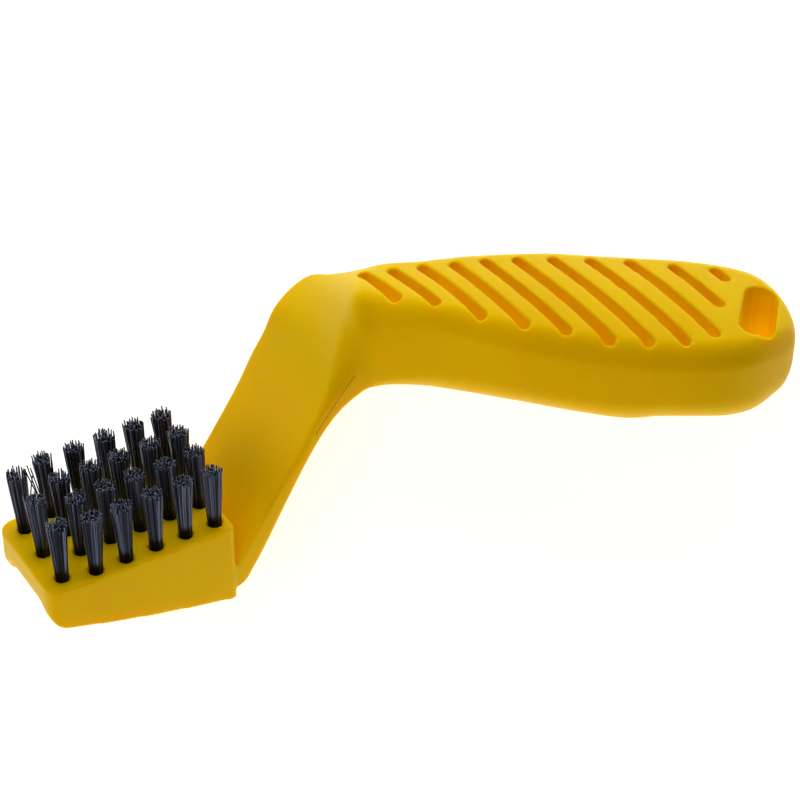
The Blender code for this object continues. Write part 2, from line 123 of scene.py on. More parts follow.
EYE_FAR_WIDTH = 7.6 * MM
EYE_NEAR = -5.3 * MM
EYE_FRONT_NEAR = -4.7 * MM
EYE_FAR = 12.1 * MM
EYE_CORNER = 3.6 * MM
MOULDED_EDGE_GRAIN = 0.36 * MM
EDGE_EASING = 0.5
EDGE_EASINGS = 5
BODY_TRIANGLES = 190000

# Slots in millimetres: place along the head, then the near and the far end across it
SLOTS_MM = (
    (83.45, -18.57, -1.62),
    (88.95, -26.18, -5.62),
    (94.85, -35.67, -8.93),
    (100.97, -43.58, -12.82),
    (107.30, -50.48, -15.82),
    (113.68, -57.98, -19.52),
    (120.30, -63.27, -23.93),
    (127.02, -67.38, -29.12),
    (133.88, -68.88, -34.83),
    (140.80, -61.38, -42.02),
    (148.00, -54.17, -48.02),
)
# Neck stations: reach, rise, depth, width and rounding as shares, then the lean in degrees
NECK_STATIONS = (
    (-0.185, -0.035, 0.67, 0.98, 0.5, 8),
    (-0.015, -0.022, 1.42, 0.98, 1.0, 30),
    (0.089, 0.037, 1.12, 0.98, 1.0, 52),
    (0.203, 0.162, 1.04, 0.985, 1.0, 57),
    (0.400, 0.386, 0.81, 0.99, 1.0, 57),
    (0.600, 0.612, 0.65, 1.0, 1.0, 58),
    (0.738, 0.765, 0.80, 1.005, 1.0, 57),
    (0.870, 0.875, 1.15, 1.0, 1.1, 54),
    (1.022, 0.978, 1.84, 1.015, 1.2, 46),
)
# Grip stations: place along it, near and far half widths, top, bottom, rounding, crown, tilt and
# turn as shares, then the lean in degrees
GRIP_STATIONS = (
    (0.014, 0.748, 0.925, 0.388, -0.255, 0.15, 0.6, 0.3, 0.30, 34),
    (0.047, 0.682, 0.740, 0.535, -0.250, 0.30, 1.2, 0.65, 0.49, 23),
    (0.080, 0.630, 0.510, 0.787, -0.225, 0.40, 1.0, 1.75, 0.69, 13),
    (0.117, 0.604, 0.495, 0.864, -0.200, 0.50, 0.3, 0.95, 0.83, 5),
    (0.167, 0.633, 0.575, 0.900, -0.170, 0.70, 0.35, 0.8, 1.0, 0),
    (0.223, 0.690, 0.683, 0.945, -0.135, 0.90, 0.2, 0.9, 1.0, 0),
    (0.290, 0.760, 0.798, 0.965, -0.105, 1.0, 0.3, 0.7, 1.0, 0),
    (0.432, 0.890, 0.998, 0.970, -0.035, 1.0, 0.7, 0.5, 1.0, 0),
    (0.546, 0.932, 1.055, 0.977, -0.030, 1.0, 1.0, 0.33, 1.0, 0),
    (0.640, 0.932, 1.094, 0.990, -0.035, 1.0, 1.0, 0.17, 1.0, 0),
    (0.690, 0.915, 1.112, 0.996, -0.020, 1.0, 1.0, 0.05, 1.0, 0),
    (0.735, 0.890, 1.127, 1.0, 0.028, 1.0, 1.0, 0.0, 1.0, 0),
    (0.811, 0.805, 1.133, 1.0, 0.04, 1.0, 0.9, 0.0, 1.0, 0),
    (0.877, 0.675, 1.080, 0.99, 0.02, 1.0, 0.8, 0.0, 1.0, 0),
    (0.924, 0.500, 0.920, 0.97, 0.02, 1.0, 0.6, 0.0, 1.0, 0),
    (0.957, 0.290, 0.718, 0.93, 0.06, 1.0, 0.4, 0.0, 1.0, 0),
    (0.980, 0.090, 0.520, 0.87, 0.16, 1.0, 0.2, 0.0, 1.0, 0),
    (0.9905, -0.040, 0.345, 0.79, 0.30, 1.0, 0.0, 0.0, 1.0, 0),
    (0.9945, -0.100, 0.250, 0.69, 0.43, 1.0, 0.0, 0.0, 1.0, 0),
)
# The near top edge is rounded apart, widest in the hollow of the elbow: one value a station, in mm
NEAR_ROUNDS_MM = (0.4, 0.8, 1.2, 1.0, 0.8, 0.8, 0.9, 1.6, 4.4, 6.6, 7.0, 6.8, 6.2, 5.6) + 14 * (5.1,)
STEPS_A_STATION = 10
TOP_POINTS = 18
CORNER_POINTS = 9
WALL_POINTS = 5
LARGEST_ROUND = 0.9
WELD = 0.01 * MM


def edit(piece, pick=None, mode="VERT"):
    """Opens a piece for editing, with the parts of it that pick says selected, or all of them."""
    bpy.ops.object.select_all(action="DESELECT")
    bpy.context.view_layer.objects.active = piece
    piece.select_set(True)
    bpy.ops.object.mode_set(mode="EDIT")
    bpy.ops.mesh.select_mode(type=mode)
    bpy.ops.mesh.select_all(action="SELECT" if pick is None else "DESELECT")
    if pick is not None:
        bpy.ops.object.mode_set(mode="OBJECT")
        parts = {"VERT": piece.data.vertices, "EDGE": piece.data.edges, "FACE": piece.data.polygons}[mode]
        for part in parts:
            part.select = pick(part)
        bpy.ops.object.mode_set(mode="EDIT")


def done(piece, name=None):
    """Closes the edit and names the piece."""
    bpy.ops.object.mode_set(mode="OBJECT")
    if name:
        piece.name = name
        piece.data.name = name
    piece.select_set(False)
    return piece


def applied(piece, kind, **settings):
    """Adds a modifier with its settings and applies it."""
    bpy.ops.object.select_all(action="DESELECT")
    bpy.context.view_layer.objects.active = piece
    piece.select_set(True)
    modifier = piece.modifiers.new(kind.lower(), kind)
    for name, value in settings.items():
        setattr(modifier, name, value)
    bpy.ops.object.modifier_apply(modifier=modifier.name)


def cut_or_join(body, other, operation):
    """Joins a piece to the body or cuts it out, and drops it."""
    applied(body, "BOOLEAN", operation=operation, solver="EXACT", object=other)
    bpy.data.objects.remove(other, do_unlink=True)


def sheet_of(corners, name):
    """A flat piece made from a plane, with its corners in turn from the near one at the nose."""
    bpy.ops.mesh.primitive_plane_add(size=1)
    piece = bpy.context.object
    by_turn = sorted(piece.data.vertices, key=lambda vertex: math.atan2(vertex.co.y, vertex.co.x))
    for vertex, corner in zip(by_turn, corners):
        vertex.co = corner
    return done(piece, name)


def round_corner(piece, at, radius):
    """Rounds the corner of a flat piece that lies nearest to a point."""
    nearest = min(piece.data.vertices, key=lambda v: (v.co.xy - Vector(at)).length).index
    edit(piece, lambda vertex: vertex.index == nearest)
    bpy.ops.mesh.bevel(offset=radius, offset_type="OFFSET", segments=OUTLINE_ROUND_STEPS, affect="VERTICES")
    done(piece)


def drawn_down(piece, depth):
    """Extrudes a flat piece along z into a closed block."""
    edit(piece)
    bpy.ops.mesh.extrude_region_move(TRANSFORM_OT_translate={"value": (0, 0, -depth)})
    bpy.ops.mesh.select_all(action="SELECT")
    bpy.ops.mesh.normals_make_consistent(inside=False)
    return done(piece)


def between(rows, steps):
    """Every value of a table at even steps, on a smooth curve through all of its rows."""
    rows = np.array(rows, float)
    padded = np.vstack([rows[:1], rows, rows[-1:]])
    place = np.linspace(0, len(rows) - 1, (len(rows) - 1) * steps + 1)
    first = np.minimum(place.astype(int), len(rows) - 2)
    t = (place - first)[:, None]
    a, b, c, d = (padded[first + shift] for shift in range(4))
    squared = a - 2.5 * b + 2 * c - d / 2
    cubed = 1.5 * b - a / 2 - 1.5 * c + d / 2
    return b + t * (c - a) / 2 + t**2 * squared + t**3 * cubed


def quarter(centre, radius, start, end, count):
    """Points on an arc, between two angles in degrees."""
    angles = np.radians(np.linspace(start, end, count))
    return np.stack([centre[0] + radius * np.cos(angles), centre[1] + radius * np.sin(angles)], 1)


def side_points(half, half_depth, top_round, low_round):
    """One side wall of a section with its rounds, from the top down."""
    upper = quarter((half - top_round, half_depth - top_round), top_round, 90, 0, CORNER_POINTS)
    lower = quarter((half - low_round, low_round - half_depth), low_round, 0, -90, CORNER_POINTS)
    return np.vstack([upper, np.linspace(upper[-1], lower[0], WALL_POINTS)[1:-1], lower])


def section_points(values):
    """One closed rounded section of the loft, in the head's frame."""
    x, y, z, turn, lean, half, half_depth, *rounds, crown, tilt = values
    largest = LARGEST_ROUND * min(half, half_depth)
    far_round, near_round, low_round = (min(size, largest) for size in rounds)
    top = np.linspace(near_round - half, half - far_round, TOP_POINTS)
    far_side = side_points(half, half_depth, far_round, low_round)
    near_side = side_points(half, half_depth, near_round, low_round)[::-1] * (-1, 1)
    low = np.linspace(far_side[-1], near_side[0], TOP_POINTS)[1:-1]
    top = np.stack([top, np.full(TOP_POINTS, half_depth)], 1)
    side, height = np.vstack([top[:-1], far_side, low, near_side[:-1]]).T
    lift = crown * (1 - (side / half) ** 2) - tilt * side / half
    height = height + lift * np.clip(height / half_depth, 0, None)
    sideways = np.array([math.sin(turn), math.cos(turn), 0])
    up = np.array([-math.sin(lean) * math.cos(turn), math.sin(lean) * math.sin(turn), math.cos(lean)])
    return np.array([x, y, z]) + side[:, None] * sideways + height[:, None] * up


stations = []
for reach, rise, depth, width, rounding, lean in NECK_STATIONS:
    stations.append((
        HEEL_X + reach * NECK_REACH, NECK_SHIFT, rise * NECK_RISE - NECK_BASE_DROP, 0, math.radians(lean),
        width * NECK_WIDTH / 2, depth * NECK_DEPTH / 2,
        rounding * NECK_INNER_ROUND, NEAR_ROUNDS_MM[len(stations)] * MM, rounding * NECK_BACK_ROUND, 0, 0,
    ))
for place, near, far, top, bottom, rounding, crown, tilt, turn, lean in GRIP_STATIONS:
    sideways = (far - near) * GRIP_WIDTH / 4
    stations.append((
        ELBOW_X + place * GRIP_LENGTH * math.cos(GRIP_YAW) + sideways * math.sin(GRIP_YAW),
        -place * GRIP_LENGTH * math.sin(GRIP_YAW) + sideways * math.cos(GRIP_YAW),
        GRIP_CLEAR + (top + bottom) * GRIP_DEPTH / 2, turn * GRIP_YAW, math.radians(lean),
        (near + far) * GRIP_WIDTH / 4, (top - bottom) * GRIP_DEPTH / 2,
        rounding * GRIP_TOP_ROUND, NEAR_ROUNDS_MM[len(stations)] * MM, rounding * GRIP_BOTTOM_ROUND,
        crown * GRIP_CROWN, tilt * GRIP_TOP_TILT,
    ))
sections = np.array([section_points(values) for values in between(stations, STEPS_A_STATION)])

# The hollow of the elbow has no edge, so the sections there are eased along the loft
spread = np.arange(-3 * ELBOW_EASED_STEPS, 3 * ELBOW_EASED_STEPS + 1)
weights = np.exp(-((spread / ELBOW_EASED_STEPS) ** 2) / 2)
padded = np.pad(sections, ((spread[-1], spread[-1]), (0, 0), (0, 0)), mode="edge")
eased = sum(w * padded[n : n + len(sections)] for n, w in enumerate(weights / weights.sum()))
away = np.linalg.norm(sections - ELBOW_HOLLOW, axis=2, keepdims=True)
sections = sections + np.exp(-((away / ELBOW_EASED_WITHIN) ** 2)) * (eased - sections)
sections = np.concatenate([sections, sections[:, :1]], 1)
lengthwise, around = sections.shape[0] - 1, sections.shape[1] - 1
bpy.ops.mesh.primitive_grid_add(x_subdivisions=around, y_subdivisions=lengthwise, size=1)
arm = bpy.context.object
arm.data.vertices.foreach_set("co", sections.reshape(-1))
edit(arm)
bpy.ops.mesh.remove_doubles(threshold=WELD)
bpy.ops.mesh.select_all(action="DESELECT")
bpy.ops.mesh.select_non_manifold()
bpy.ops.mesh.fill_holes(sides=0)
bpy.ops.mesh.select_all(action="SELECT")
bpy.ops.mesh.normals_make_consistent(inside=False)
done(arm, "neck_and_grip")

# The head block is drawn down from the outline of its tufted face and pared to the belly
corners = ((NOSE_X, -NOSE_HALF, 0), (HEEL_X, -HEEL_HALF, 0), (HEEL_X, HEEL_HALF, 0), (NOSE_X, NOSE_HALF, 0))
body = sheet_of(corners, "moulded_body")
for side in (-1, 1):
    round_corner(body, (NOSE_X, side * NOSE_HALF), NOSE_CORNER)
    round_corner(body, (HEEL_X, side * HEEL_HALF), HEEL_CORNER)
drawn_down(body, HEEL_DEPTH + CUT_OVERRUN)


def pulled(start, pull, end, share):
    """A point on the curve from start to end that is drawn towards pull."""
    first, middle, last = (1 - share) ** 2, 2 * share * (1 - share), share**2
    return [first * a + middle * b + last * c for a, b, c in zip(start, pull, end)]


def belly(share):
    """A point on the head's underside, at a share of the way from the nose to the heel."""
    along, down = BELLY_PULL
    pull = (NOSE_X + (HEEL_X - NOSE_X) * along, -NOSE_DEPTH - (HEEL_DEPTH - NOSE_DEPTH) * down)
    return pulled((NOSE_X, -NOSE_DEPTH), pull, (HEEL_X, -HEEL_DEPTH), share)


tight = NOSE_UNDER_ROUND / (HEEL_X - NOSE_X)
nose_low, nose_corner = (NOSE_X, -NOSE_STRAIGHT), (NOSE_X, -NOSE_DEPTH)
under = [(NOSE_X - CUT_OVERRUN, -NOSE_STRAIGHT)]
for step in range(NOSE_UNDER_STEPS):
    under.append(pulled(nose_low, nose_corner, belly(tight), step / NOSE_UNDER_STEPS))
under += [belly(tight + (1 - tight) * step / BELLY_STEPS) for step in range(BELLY_STEPS + 1)]
under.append((HEEL_X + CUT_OVERRUN, under[-1][1]))
bpy.ops.mesh.primitive_grid_add(x_subdivisions=len(under) - 1, y_subdivisions=1, size=1)
paring = bpy.context.object
for row in (0, 1):
    for index, (x, z) in enumerate(under):
        paring.data.vertices[row * len(under) + index].co = (x, (2 * row - 1) * 2 * HEEL_HALF, z)
drawn_down(done(paring, "paring"), HEEL_DEPTH * 2)
cut_or_join(body, paring, "DIFFERENCE")
cut_or_join(body, arm, "UNION")
skin_points = [vertex.co.copy() for vertex in body.data.vertices]
skin_faces = [face.vertices[:] for face in body.data.polygons]
skin = BVHTree.FromPolygons(skin_points, skin_faces)

# What the mould's cores leave open: the channel under the head, the slots, the eye and the holes
slope = math.atan2(belly(1)[1] - belly(0)[1] - CHANNEL_DEPTH, CHANNEL_LENGTH)
half = CHANNEL_WIDTH / 2
front, end = -CUT_OVERRUN, CHANNEL_LENGTH
channel = sheet_of(((front, -half, 0), (end, -half, 0), (end, half, 0), (front, half, 0)), "channel")
drawn_down(channel, CHANNEL_WIDTH)


def bounds_the_roof(edge):
    """Whether an edge of the channel's core runs lengthwise beside its flat roof."""
    first, last = (channel.data.vertices[index].co for index in edge.vertices)
    return abs(first.z) < MM and abs(last.z) < MM and first.y == last.y


edit(channel, bounds_the_roof, "EDGE")
bpy.ops.mesh.bevel(offset=CHANNEL_CORNER, segments=CHANNEL_CORNER_STEPS)
done(channel)
under_nose = Matrix.Translation((NOSE_X, 0, CHANNEL_DEPTH - NOSE_DEPTH))
channel.data.transform(under_nose @ Matrix.Rotation(-slope, 4, "Y"))
cut_or_join(body, channel, "DIFFERENCE")

top = GRIP_CLEAR + GRIP_DEPTH + CUT_OVERRUN
half = SLOT_WIDTH / 2
for place, near, far in SLOTS_MM:
    # Each slot is a straight core whose ends are rounded by nearly half its width
    x, near, far = place * MM, near * MM, far * MM
    corners = ((x - half, near, top), (x + half, near, top), (x + half, far, top), (x - half, far, top))
    core = sheet_of(corners, "slot_core")
    for corner in corners:
        round_corner(core, corner[:2], half * SLOT_END_ROUND)
    drawn_down(core, top - SLOT_FLOOR)
    cut_or_join(body, core, "DIFFERENCE")

back = EYE_FRONT - EYE_WIDTH
corners = (
    (back, EYE_NEAR, top), (EYE_FRONT, EYE_FRONT_NEAR, top),
    (back + EYE_FAR_WIDTH, EYE_FAR, top), (back, EYE_FAR, top),
)
core = sheet_of(corners, "eye_core")
for corner in corners:
    round_corner(core, corner[:2], EYE_CORNER)
drawn_down(core, GRIP_DEPTH + 2 * CUT_OVERRUN)
core.data.transform(Matrix.Translation((ELBOW_X, 0, 0)) @ Matrix.Rotation(-GRIP_YAW, 4, "Z"))
cut_or_join(body, core, "DIFFERENCE")

tuft_places = [(0.0, row * NOSE_TUFT_PITCH) for row in (-1, 0, 1)]
for column in range(1, COLUMNS + 1):
    tuft_places += [(TUFT_PITCH * column, near_row + TUFT_PITCH * row) for row in range(ROWS)]
for x, y in tuft_places:
    bpy.ops.mesh.primitive_cylinder_add(
        vertices=HOLE_SIDES, radius=HOLE_RADIUS, depth=2 * HOLE_DEPTH, location=(x, y, 0)
    )
    cut_or_join(body, bpy.context.object, "DIFFERENCE")

# The moulding's round edges: the body is remade on a fine grid and its edges are eased
applied(body, "REMESH", mode="VOXEL", voxel_size=MOULDED_EDGE_GRAIN)
applied(body, "SMOOTH", factor=EDGE_EASING, iterations=EDGE_EASINGS)
applied(body, "DECIMATE", ratio=min(1.0, BODY_TRIANGLES / (2 * len(body.data.polygons))))
edit(body)
bpy.ops.mesh.normals_make_consistent(inside=False)
done(body)

# How far each point lies under the skin that the cores were cut through, in mm: it sets where light is
# painted in the slots, the eye and the holes
depths = [skin.find_nearest(vertex.co)[3] / MM for vertex in body.data.vertices]
under_skin = body.data.attributes.new("under_skin", "FLOAT", "POINT")
under_skin.data.foreach_set("value", depths)

# The mould's parting line shows as a short run down the near side of the neck: how far each point
# there lies from it, in mm, from a point on the line and the line's slope
PARTING_X, PARTING_Z = 69.4, 25.5
PARTING_SLOPE = math.radians(51)
PARTING_START, PARTING_END = 63.0, 73.8
PARTING_SIDE = -14.2
OFF_THE_LINE = 40
x, y, z = np.array([vertex.co for vertex in body.data.vertices]).T / MM
off_line = (z - PARTING_Z) * math.cos(PARTING_SLOPE) - (x - PARTING_X) * math.sin(PARTING_SLOPE)
elsewhere = (y > PARTING_SIDE) | (x < PARTING_START) | (x > PARTING_END)
parting = body.data.attributes.new("from_parting_line", "FLOAT", "POINT")
parting.data.foreach_set("value", np.where(elsewhere, OFF_THE_LINE, off_line))
body.data.shade_smooth()
body.data.transform(HEAD)


def linear(hex_colour):
    """The linear colour of an sRGB hex value."""
    parts = [int(hex_colour[i : i + 2], 16) / 255 for i in (1, 3, 5)]
    return [v / 12.92 if v <= 0.04045 else ((v + 0.055) / 1.055) ** 2.4 for v in parts] + [1.0]


def new_material(name):
    """A material with nodes, and its shader."""
    made = bpy.data.materials.new(name)
    made.use_nodes = True
    return made, made.node_tree.nodes["Principled BSDF"]


def add_node(made, kind, settings=None, **links):
    """Adds a node with its settings, and links or sets the inputs named, or numbered as _0."""
    node = made.node_tree.nodes.new(kind)
    for name, value in (settings or {}).items():
        setattr(node, name, value)
    for name, value in links.items():
        socket = node.inputs[int(name[1:])] if name[0] == "_" else node.inputs[name.replace("_", " ")]
        if isinstance(value, bpy.types.NodeSocket):
            made.node_tree.links.new(value, socket)
        else:
            socket.default_value = value
    return node


def ramp(node, stops):
    """Sets the colours of a colour ramp."""
    while len(node.color_ramp.elements) < len(stops):
        node.color_ramp.elements.new(0.5)
    for element, (place, colour) in zip(node.color_ramp.elements, stops):
        element.position = place
        element.color = linear(colour)
    return node


# Polypropylene in solid yellow, injection moulded in a fine-blasted mould: it gives the eye an
# even satin face, a soft glow in thin walls, faint flow clouds in the colour, and a dark hairline
# where the mould's halves met. Deep in the slots, the eye and the holes light is painted in: a paler
# yellow and a faint yellow glow stand in for the light that bounces and shines through there
CLOUD = 22 * MM
SATIN_FROM, SATIN_TO = 0.38, 0.46
GRAIN = 0.35 * MM
GRAIN_HEIGHT = 0.05 * MM
GRAIN_STRENGTH = 0.05
PAINTED_LIGHT_FROM, PAINTED_LIGHT_FULLY_AT = 0.3, 2.2
PAINTED_GLOW_IN_SLOTS = 0.12
PARTING_HALF_WIDTH = 0.11
yellow, shader = new_material("moulded_polypropylene")
shader.inputs["IOR"].default_value = 1.49
shader.inputs["Specular IOR Level"].default_value = 0.08
shader.inputs["Specular Tint"].default_value = (1.0, 0.85, 0.15, 1.0)
shader.inputs["Subsurface Weight"].default_value = 0.8
shader.inputs["Subsurface Radius"].default_value = (1.0, 0.38, 0.04)
shader.inputs["Subsurface Scale"].default_value = 3.0 * MM
place = add_node(yellow, "ShaderNodeTexCoord").outputs["Object"]
clouds = add_node(yellow, "ShaderNodeTexNoise", Vector=place, Scale=1 / CLOUD, Detail=3.0, Roughness=0.5)
flow = ramp(
    add_node(yellow, "ShaderNodeValToRGB", Fac=clouds.outputs["Fac"]),
    ((0.30, "#EFC200"), (0.70, "#F2C700")),
)
# Painted light: deeper under the skin the yellow turns paler, as if lit, in the slots, the eye and the
# holes
depth = add_node(yellow, "ShaderNodeAttribute", {"attribute_name": "under_skin"})
inside = add_node(
    yellow, "ShaderNodeMapRange", Value=depth.outputs["Fac"], From_Min=PAINTED_LIGHT_FROM, From_Max=PAINTED_LIGHT_FULLY_AT
)
painted_slot_light = add_node(
    yellow, "ShaderNodeMix", {"data_type": "RGBA"},
    _0=inside.outputs["Result"], _6=flow.outputs["Color"], _7=linear("#F8CC00"),
)
from_line = add_node(yellow, "ShaderNodeAttribute", {"attribute_name": "from_parting_line"})
near_line = add_node(
    yellow, "ShaderNodeMath", {"operation": "COMPARE"},
    _0=from_line.outputs["Fac"], _1=0.0, _2=PARTING_HALF_WIDTH,
)
lined = add_node(
    yellow, "ShaderNodeMix", {"data_type": "RGBA"},
    _0=near_line.outputs[0], _6=painted_slot_light.outputs[2], _7=linear("#A07412"),
)
yellow.node_tree.links.new(lined.outputs[2], shader.inputs["Base Color"])
# Painted glow: a faint yellow emission, strongest deep in the slots, the eye and the holes
shader.inputs["Emission Color"].default_value = linear("#FFD200")
through = add_node(
    yellow, "ShaderNodeMath", {"operation": "MULTIPLY"}, _0=inside.outputs["Result"], _1=PAINTED_GLOW_IN_SLOTS
)
yellow.node_tree.links.new(through.outputs[0], shader.inputs["Emission Strength"])
grain = add_node(yellow, "ShaderNodeTexNoise", Vector=place, Scale=1 / GRAIN, Detail=2.0)
satin = add_node(
    yellow, "ShaderNodeMapRange", Value=clouds.outputs["Fac"], To_Min=SATIN_FROM, To_Max=SATIN_TO
)
yellow.node_tree.links.new(satin.outputs["Result"], shader.inputs["Roughness"])
bump = add_node(
    yellow, "ShaderNodeBump", Height=grain.outputs["Fac"], Strength=GRAIN_STRENGTH, Distance=GRAIN_HEIGHT
)
yellow.node_tree.links.new(bump.outputs["Normal"], shader.inputs["Normal"])
body.data.materials.clear()
body.data.materials.append(yellow)
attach(body, "root")
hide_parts("handle")

# The bristles: bundles of black nylon 6.12 filament, straight and round, slightly fanned, and
# trimmed a little longer towards the far side. In the brush they are folded over an anchor in the
# hole; here each filament runs straight down into it. One filament is modelled and copied into
# each bundle.
FILAMENT = 0.33 * MM
FILAMENTS = 60
FILAMENT_SIDES = 6
FILAMENT_BENDS = 3
TRIM = 15.9 * MM
LONGER_TO_FAR_SIDE = 0.055
RAGGED = 1.0 * MM
MOSTLY_LONG = 1.5
ROOT_RADIUS = 1.52 * MM
TIP_RADIUS = 2.50 * MM
ROOT_DEPTH = 2.0 * MM
SMOOTH_UP_TO = math.radians(50)

# How the bundles lean at their tips, by their row across the head, then how much a bundle's lean,
# a filament's tip and a filament's bow vary about that, in mm
LEANS_MM = ((0.1, 0.25), (-0.2, 0.1), (-0.3, 0.2), (-0.7, 0.2))
LEAN_VARIES_MM = 0.25
TIP_VARIES_MM = 0.2
BOW_VARIES_MM = 0.10

# Filaments that stray from their bundles: bundle, root, tip and height, in mm
STRAYS_MM = (
    (3, (0.9, -0.2), (3.0, -0.6), 15.0),
    (7, (-1.2, 0.2), (-4.3, 1.0), 15.4),
    (7, (-1.1, -0.3), (-3.9, 0.1), 15.2),
    (7, (-1.2, 0.5), (-5.0, 0.8), 14.6),
)
bpy.ops.mesh.primitive_cylinder_add(vertices=FILAMENT_SIDES, radius=0.5, depth=1, location=(0, 0, 0.5))
filament = bpy.context.object


def lengthwise_edge(edge):
    """Whether an edge runs along the filament."""
    first, last = (filament.data.vertices[index].co for index in edge.vertices)
    return abs(first.z - last.z) > 0.5


edit(filament, lengthwise_edge, "EDGE")
bpy.ops.mesh.subdivide(number_cuts=FILAMENT_BENDS)
bpy.ops.mesh.select_all(action="DESELECT")
done(filament, "filament")
bpy.context.view_layer.update()
filament.data.transform(filament.matrix_world)
filament_shape = np.array([vertex.co for vertex in filament.data.vertices])
filament_faces = [list(face.vertices) for face in filament.data.polygons]
bpy.data.objects.remove(filament, do_unlink=True)

nylon, shader = new_material("black_nylon_filament")


def bundle(name, x, y, dice, strays):
    """One bundle of filaments, each a bent copy of the modelled one."""
    points, faces, tints, rises = [], [], [], []
    golden = math.pi * (3 - math.sqrt(5))
    row = (y - near_row) / TUFT_PITCH
    lean = Vector([dice.uniform(-LEAN_VARIES_MM, LEAN_VARIES_MM) for axis in "xy"])
    lean += Vector(LEANS_MM[round(row)])
    trim = TRIM + LONGER_TO_FAR_SIDE * (y - near_row)
    runs = []
    for number in range(FILAMENTS):
        share = math.sqrt((number + 0.5) / FILAMENTS)
        turn = number * golden
        root = Vector((math.cos(turn), math.sin(turn))) * share * ROOT_RADIUS
        drift = Vector([dice.uniform(-TIP_VARIES_MM, TIP_VARIES_MM) for axis in "xy"])
        tip = root * (TIP_RADIUS / ROOT_RADIUS) + (lean + drift) * MM
        runs.append((root, tip, trim - dice.random() ** MOSTLY_LONG * RAGGED))
    for root, tip, height in strays:
        runs.append((Vector(root) * MM, Vector(tip) * MM, height * MM))
    for root, tip, height in runs:
        z = -ROOT_DEPTH + (height + ROOT_DEPTH) * filament_shape[:, 2]
        rise = np.clip(z / height, 0, None)[:, None]
        bow = (np.array([dice.gauss(0, BOW_VARIES_MM) for axis in "xy"]) * MM) * (rise * (1 - rise)) * 4
        middle = np.array(root) + (np.array(tip) - np.array(root)) * rise + bow
        ring = filament_shape[:, :2] * FILAMENT
        first = len(points) * len(filament_shape)
        points.append(np.column_stack([x + middle[:, 0] + ring[:, 0], y + middle[:, 1] + ring[:, 1], z]))
        faces += [[first + index for index in face] for face in filament_faces]
        tints += [dice.random()] * len(filament_shape)
        rises += list(z / height)
    mesh = bpy.data.meshes.new(name)
    mesh.from_pydata(np.vstack(points).tolist(), [], faces)
    tint = mesh.attributes.new("filament_tint", "FLOAT", "POINT")
    tint.data.foreach_set("value", tints)
    rise = mesh.attributes.new("height_share", "FLOAT", "POINT")
    rise.data.foreach_set("value", rises)
    mesh.transform(HEAD)
    made = bpy.data.objects.new(name, mesh)
    bpy.context.scene.collection.objects.link(made)
    mesh.materials.append(nylon)
    bpy.ops.object.select_all(action="DESELECT")
    bpy.context.view_layer.objects.active = made
    made.select_set(True)
    bpy.ops.object.shade_smooth_by_angle(angle=SMOOTH_UP_TO)
    made.select_set(False)
    return made


for number, (x, y) in enumerate(tuft_places, 1):
    strays = [stray[1:] for stray in STRAYS_MM if stray[0] == number]
    piece = bundle(f"bristles_{number:02d}", x, y, random.Random(100 + number), strays)
    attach(piece, "root")
    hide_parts(f"tuft_{number:02d}")

# Nylon monofilament, drawn and heat set, black right through: satin with a cool, narrow highlight
# along each filament, and a little paler where the cut has frosted its end. Light is painted in too:
# each filament's tone, which varies at random, is lifted pale and bluish as a painted highlight, and
# a painted shade turns them near black low down in the bundle
SHADED_TO, UNSHADED_FROM = 0.12, 0.22
FROSTED_FROM, FROSTED_BY = 0.975, 0.99
shader.inputs["Roughness"].default_value = 0.30
shader.inputs["Specular IOR Level"].default_value = 0.28
shader.inputs["Specular Tint"].default_value = (0.72, 0.84, 1.0, 1.0)
shader.inputs["IOR"].default_value = 1.53
tint = add_node(nylon, "ShaderNodeAttribute", {"attribute_name": "filament_tint"})
rise = add_node(nylon, "ShaderNodeAttribute", {"attribute_name": "height_share"})
# Each filament's tone varies at random, and the whole range is lifted pale and bluish as a painted
# highlight
tone_and_painted_highlight = ramp(
    add_node(nylon, "ShaderNodeValToRGB", Fac=tint.outputs["Fac"]),
    ((0.0, "#1B1D26"), (0.5, "#40465C"), (1.0, "#7680A0")),
)
ends = ramp(
    add_node(nylon, "ShaderNodeValToRGB", Fac=rise.outputs["Fac"]),
    ((0.0, "#000000"), (FROSTED_FROM, "#000000"), (FROSTED_BY, "#B0B0B0")),
)
# Painted shade: low in the bundle, where it lies in shade, the filaments turn near black
clear = add_node(
    nylon, "ShaderNodeMapRange", Value=rise.outputs["Fac"], From_Min=SHADED_TO, From_Max=UNSHADED_FROM
)
painted_root_shade = add_node(
    nylon, "ShaderNodeMix", {"data_type": "RGBA"},
    _0=clear.outputs["Result"], _6=linear("#0B0806"), _7=tone_and_painted_highlight.outputs["Color"],
)
worn = add_node(
    nylon, "ShaderNodeMix", {"data_type": "RGBA"},
    _0=ends.outputs["Color"], _6=painted_root_shade.outputs[2], _7=linear("#5C636C"),
)
nylon.node_tree.links.new(worn.outputs[2], shader.inputs["Base Color"])

# The anchors: flat tinned wire, cut off and driven across each hole, which keep the CAD's shape
# and lie out of sight under the bristles
DRAWING_MARKS = 0.2 * MM
tinned, shader = new_material("tinned_flat_wire")
shader.inputs["Metallic"].default_value = 1.0
place = add_node(tinned, "ShaderNodeTexCoord").outputs["Object"]
drawn = add_node(tinned, "ShaderNodeTexNoise", Vector=place, Scale=1 / DRAWING_MARKS, Detail=2.0)
dull = ramp(
    add_node(tinned, "ShaderNodeValToRGB", Fac=drawn.outputs["Fac"]),
    ((0.3, "#A9A59B"), (0.7, "#C6C2B8")),
)
tinned.node_tree.links.new(dull.outputs["Color"], shader.inputs["Base Color"])
wear = add_node(tinned, "ShaderNodeMapRange", Value=drawn.outputs["Fac"], To_Min=0.28, To_Max=0.45)
tinned.node_tree.links.new(wear.outputs["Result"], shader.inputs["Roughness"])
for number in range(1, len(tuft_places) + 1):
    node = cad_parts[f"anchor_{number:02d}"]
    node.data.materials.clear()
    node.data.materials.append(tinned)

